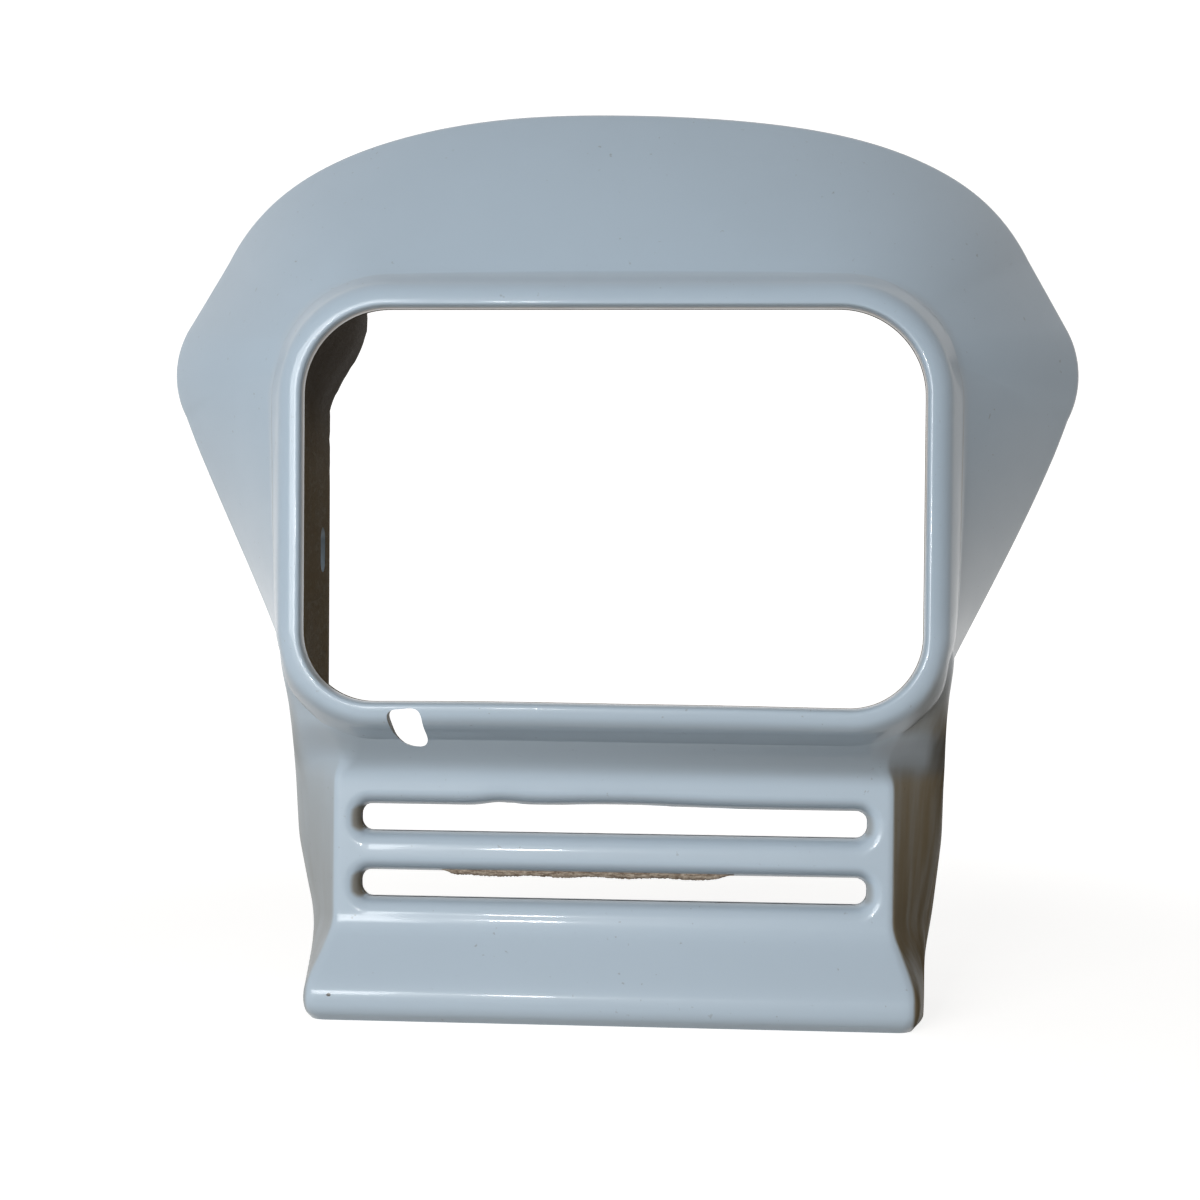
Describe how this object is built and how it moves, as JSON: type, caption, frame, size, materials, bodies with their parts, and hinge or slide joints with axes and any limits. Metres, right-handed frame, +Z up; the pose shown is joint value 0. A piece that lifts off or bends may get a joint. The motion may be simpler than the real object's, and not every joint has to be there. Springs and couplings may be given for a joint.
{
  "type": "headlight cowl",
  "caption": "Thin-walled motorbike headlight cowl: rounded rim round a rectangular lamp window, helmet-shaped shield with swept-back wings, side walls, slotted grille face and flared lip.",
  "frame": {"origin": "middle of the overall box in plan, at the level of the lip's foot", "axes": "+X across to the cowl's right as seen from the front, +Y back from the rim towards the rider, +Z up"},
  "size_m": [0.2948, 0.094, 0.2848],
  "materials": {
    "moulding": "gloss, pale blue-white"
  },
  "bodies": {
    "root": {"cowl": "moulding"}
  },
  "joints": []
}
